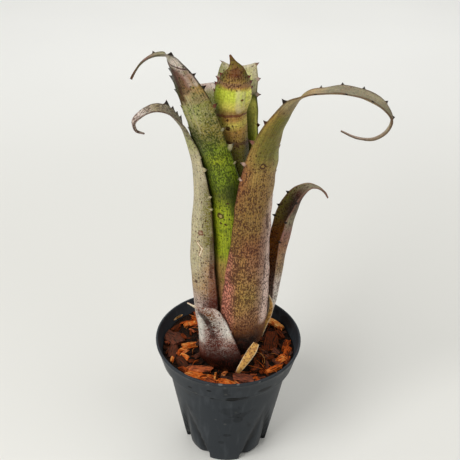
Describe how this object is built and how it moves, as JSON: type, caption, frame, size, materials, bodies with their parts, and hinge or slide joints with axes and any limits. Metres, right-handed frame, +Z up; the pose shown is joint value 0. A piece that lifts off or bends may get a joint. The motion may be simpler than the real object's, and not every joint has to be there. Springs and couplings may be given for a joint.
{
  "type": "potted bromeliad",
  "caption": "Young upright bromeliad with arching toothed strap leaves, growing in bark mix in a round black nursery pot with a rim band and sunk panels.",
  "frame": {"origin": "on the ground under the middle of the whole plant's outline; the pot's axis stands 13 mm from it towards -X", "axes": "+Z up; the viewer's side is -Y; the long arched leaf leans towards +X"},
  "size_m": [0.144, 0.1004, 0.3036],
  "materials": {
    "black_plastic": "satin black moulded plastic with faint scuffs",
    "bark_mix": "loose orange-brown bark chips over dark fibre",
    "stem_tissue": "dull brown plant tissue",
    "leaf_mauve": "scurfy tan and mauve leaf with dark speckles",
    "leaf_olive": "olive leaf with mauve flush",
    "leaf_green": "green leaf with pale scurf",
    "dry_sheath": "papery dry golden-tan sheath"
  },
  "bodies": {
    "root": {"pot": "black_plastic", "potting_mix": "bark_mix", "stem": "stem_tissue", "leaf_outer_stub": "leaf_mauve", "leaf_right_long": "leaf_mauve", "leaf_left_arched": "leaf_mauve", "leaf_right_short": "leaf_olive", "leaf_left_tall": "leaf_green", "leaf_back_left": "leaf_green", "leaf_back": "leaf_green", "leaf_heart": "leaf_green", "sheath_scrap": "dry_sheath", "fibre_strip": "dry_sheath"}
  },
  "joints": []
}
